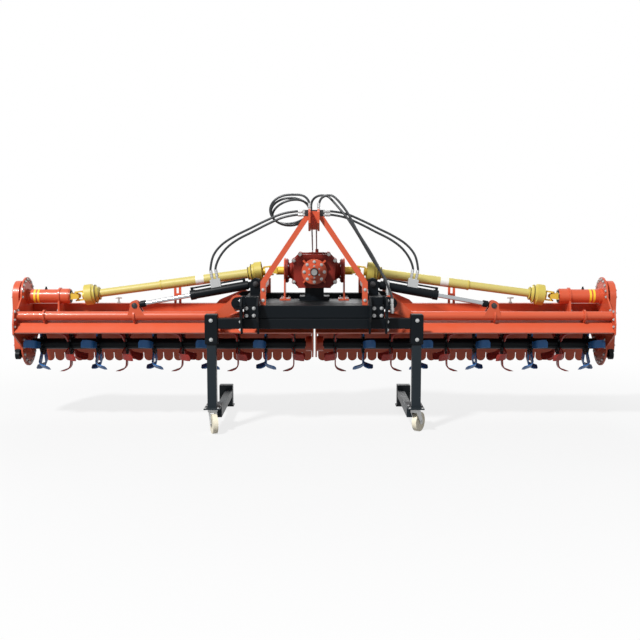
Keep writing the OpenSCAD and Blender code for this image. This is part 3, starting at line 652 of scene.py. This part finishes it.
for side, s in SIDES:
    bm = bmesh.new()
    hub = at(s, FIRST_X, 0, ROTOR_Z)
    for r in (0.059, 0.079):
        for face in (-1, 1):
            add_bolt(bm, hub + Vector((face * FLANGE_HALF_T, 0, r)), (face, 0, 0), 0.0075)
    pair = list(bm.verts) + list(bm.edges) + list(bm.faces)
    for k in range(1, TINES):
        turn_round(bm, hub, 360 / TINES * k, copy_of(bm, pair))
    flange = list(bm.verts) + list(bm.edges) + list(bm.faces)
    for i in range(1, FLANGES):
        verts = copy_of(bm, flange)
        turn_round(bm, hub, 180 / TINES * (i % 2), verts)
        bmesh.ops.translate(bm, vec=(s * i * PITCH, 0, 0), verts=verts)
    mesh_piece("tine_bolts_" + side, bm, DARK_STEEL, "rotor_body_" + side)


# Bolts, seal and splines on the gearbox

SPLINES = 21
SPLINE_ROOT, SPLINE_TIP = 0.0216, 0.0246
SPLINE_FROM, SPLINE_LENGTH = -0.2285, 0.068

lugs = [at(sx, x, -0.124, GEAR_Z + dz) for sx in (-1, 1)
        for x, dz in ((0.165, -0.085), (0.165, 0.085), (0.115, 0.135))]
bolts("gear_lug_bolts", lugs, FORWARD, 0.011, STEEL, "frame")
for name, y, r, angles, size in (("flange", -0.208, 0.080, range(0, 360, 45), 0.010),
                                 ("ring", -0.220, 0.045, range(30, 390, 60), 0.006)):
    places = ring_places(at(1, 0, y, GEAR_Z), "Y", r, angles)
    bolts(f"gear_{name}_bolts", places, FORWARD, size, STEEL, "frame")
round_band("shaft_seal", at(1, 0, -0.226, GEAR_Z), (0, 1, 0), 0.0222, 0.007, 0.010, RUBBER, "frame")

bm = bmesh.new()
teeth = []
for k in range(SPLINES):
    for turn, r in ((-0.30, SPLINE_ROOT), (-0.18, SPLINE_TIP), (0.18, SPLINE_TIP), (0.30, SPLINE_ROOT)):
        a = 2 * math.pi * (k + turn) / SPLINES
        teeth.append(bm.verts.new(at(1, r * math.cos(a), SPLINE_FROM, GEAR_Z + r * math.sin(a))))
made = bmesh.ops.extrude_face_region(bm, geom=[bm.faces.new(teeth)])
front = [v for v in made["geom"] if isinstance(v, bmesh.types.BMVert)]
bmesh.ops.translate(bm, vec=(0, -SPLINE_LENGTH, 0), verts=front)
mesh_piece("shaft_splines", bm, STEEL, "frame", smooth=False)


# Bolts on the centre frame and the stand

for side, s in SIDES:
    necks = ring_places(at(s, 0.215, 0, GEAR_Z), "X", 0.083, range(30, 390, 60))
    bolts("neck_bolts_" + side, necks, (-s, 0, 0), 0.008, STEEL, "frame")
    feet = [at(s, x, y, 0.994) for x in (0.212, 0.264) for y in (-0.08, 0.08)]
    bolts("mount_foot_bolts_" + side, feet, UP, 0.010, STEEL, "frame")
    beam = [at(s, x, -0.560, z) for x in (0.455, 0.510) for z in (0.905, 0.960)]
    bolts("beam_bolts_" + side, beam, FORWARD, 0.011, ZINC, "frame")
    hitch = [at(s, 0.552, -0.585, z) for z in (0.80, 0.86, 1.02)]
    bolts("hitch_bolts_" + side, hitch, (s, 0, 0), 0.012, ZINC, "frame")
    sleeve = [at(s, STAND_X, -0.568, z) for z in (0.722, 0.868)]
    bolts("sleeve_bolts_" + side, sleeve, FORWARD, 0.012, ZINC, "frame")
    nuts = [at(s, STAND_X + s * x, y, 0.194) for x in (-0.049, 0.049) for y in (-0.573, -0.471)]
    bolts("castor_nuts_" + side, nuts, UP, 0.008, ZINC, "stand_leg_" + side)
    mast = [at(s, 0.385, -0.545, z) for z in (1.02, 1.10)]
    bolts("mast_bolts_" + side, mast, FORWARD, 0.010, ZINC, "frame")


# Camera, floor and light

LOOK_DOWN = 6.1
FLOOR_BOUNCE = (0.22, 0.22, 0.22, 1)
FLOOR_SEEN = (0.55, 0.55, 0.55, 1)
FADE_FROM, FADE_TO = 2.2, 5.0

camera = bpy.data.objects.new("camera", bpy.data.cameras.new("camera"))
scene.collection.objects.link(camera)
camera.data.lens = 50.3
camera.data.sensor_width = 36.0
camera.location = at(1, 0.045, -7.28, 1.59)
camera.rotation_euler = (math.radians(90 - LOOK_DOWN), 0, 0)
scene.camera = camera


def seen_rays(tree):
    """Output that is 1 for what the camera sees, straight or mirrored or through glass."""
    rays = add_node(tree, "LightPath").outputs
    total = rays["Is Camera Ray"]
    for kind in ("Is Glossy Ray", "Is Transmission Ray"):
        add = add_node(tree, "Math", operation="ADD", use_clamp=True)
        tree.links.new(total, add.inputs[0])
        tree.links.new(rays[kind], add.inputs[1])
        total = add.outputs[0]
    return total


def floor_paint():
    """Matt floor that keeps the shadow, fades to white away from the machine and throws little light up."""
    m = bpy.data.materials.new("floor")
    m.use_nodes = True
    tree = m.node_tree
    link = tree.links.new
    matt = tree.nodes["Principled BSDF"]
    matt.inputs["Roughness"].default_value = 0.9
    seen = seen_rays(tree)
    tone = add_node(tree, "Mix", data_type="RGBA")
    tone.inputs["A"].default_value = FLOOR_BOUNCE
    tone.inputs["B"].default_value = FLOOR_SEEN
    link(seen, tone.inputs["Factor"])
    link(tone.outputs["Result"], matt.inputs["Base Color"])
    reach = add_node(tree, "VectorMath", operation="LENGTH")
    link(add_node(tree, "TexCoord").outputs["Object"], reach.inputs[0])
    fade = add_node(tree, "MapRange", {"From Min": FADE_FROM, "From Max": FADE_TO, "To Min": 0.80},
                    interpolation_type="SMOOTHSTEP")
    link(reach.outputs["Value"], fade.inputs["Value"])
    share = add_node(tree, "Math", operation="MULTIPLY")
    link(fade.outputs["Result"], share.inputs[0])
    link(seen, share.inputs[1])
    join = add_node(tree, "MixShader")
    link(share.outputs[0], join.inputs[0])
    link(matt.outputs["BSDF"], join.inputs[1])
    link(add_node(tree, "Emission").outputs["Emission"], join.inputs[2])
    link(join.outputs["Shader"], tree.nodes["Material Output"].inputs["Surface"])
    return m


floor_mesh = bpy.data.meshes.new("floor")
bm = bmesh.new()
bmesh.ops.create_grid(bm, x_segments=1, y_segments=1, size=40)
bm.to_mesh(floor_mesh)
bm.free()
floor_mesh.materials.append(floor_paint())
floor = bpy.data.objects.new("floor", floor_mesh)
floor.location.z = -0.0005
scene.collection.objects.link(floor)


def area_light(name, place, target, size, power):
    """Round lamp that looks at target."""
    data = bpy.data.lights.new(name, "AREA")
    data.shape = "DISK"
    data.size = size
    data.energy = power
    obj = bpy.data.objects.new(name, data)
    obj.location = place
    obj.rotation_euler = (Vector(target) - Vector(place)).to_track_quat("-Z", "Y").to_euler()
    scene.collection.objects.link(obj)


area_light("key", (-9.0, -14.0, 17.5), (0, 0, 0.7), 2.6, 7400)
area_light("fill", (6.0, -6.5, 4.5), (0, 0, 0.7), 4.0, 60)
area_light("back", (1.0, 7.0, 5.5), (0, 0, 0.8), 4.0, 250)

# Dim blue-white sky for the light, plain white for what is seen
world = bpy.data.worlds.new("studio")
scene.world = world
world.use_nodes = True
tree = world.node_tree
tree.nodes.clear()
sky = add_node(tree, "Background", {"Color": (0.9, 0.93, 1.0, 1), "Strength": 0.16})
plain = add_node(tree, "Background", {"Color": (1, 1, 1, 1), "Strength": 1.0})
pick = add_node(tree, "MixShader")
tree.links.new(seen_rays(tree), pick.inputs[0])
tree.links.new(sky.outputs[0], pick.inputs[1])
tree.links.new(plain.outputs[0], pick.inputs[2])
tree.links.new(pick.outputs[0], add_node(tree, "OutputWorld").inputs["Surface"])
scene.view_settings.view_transform = "Standard"
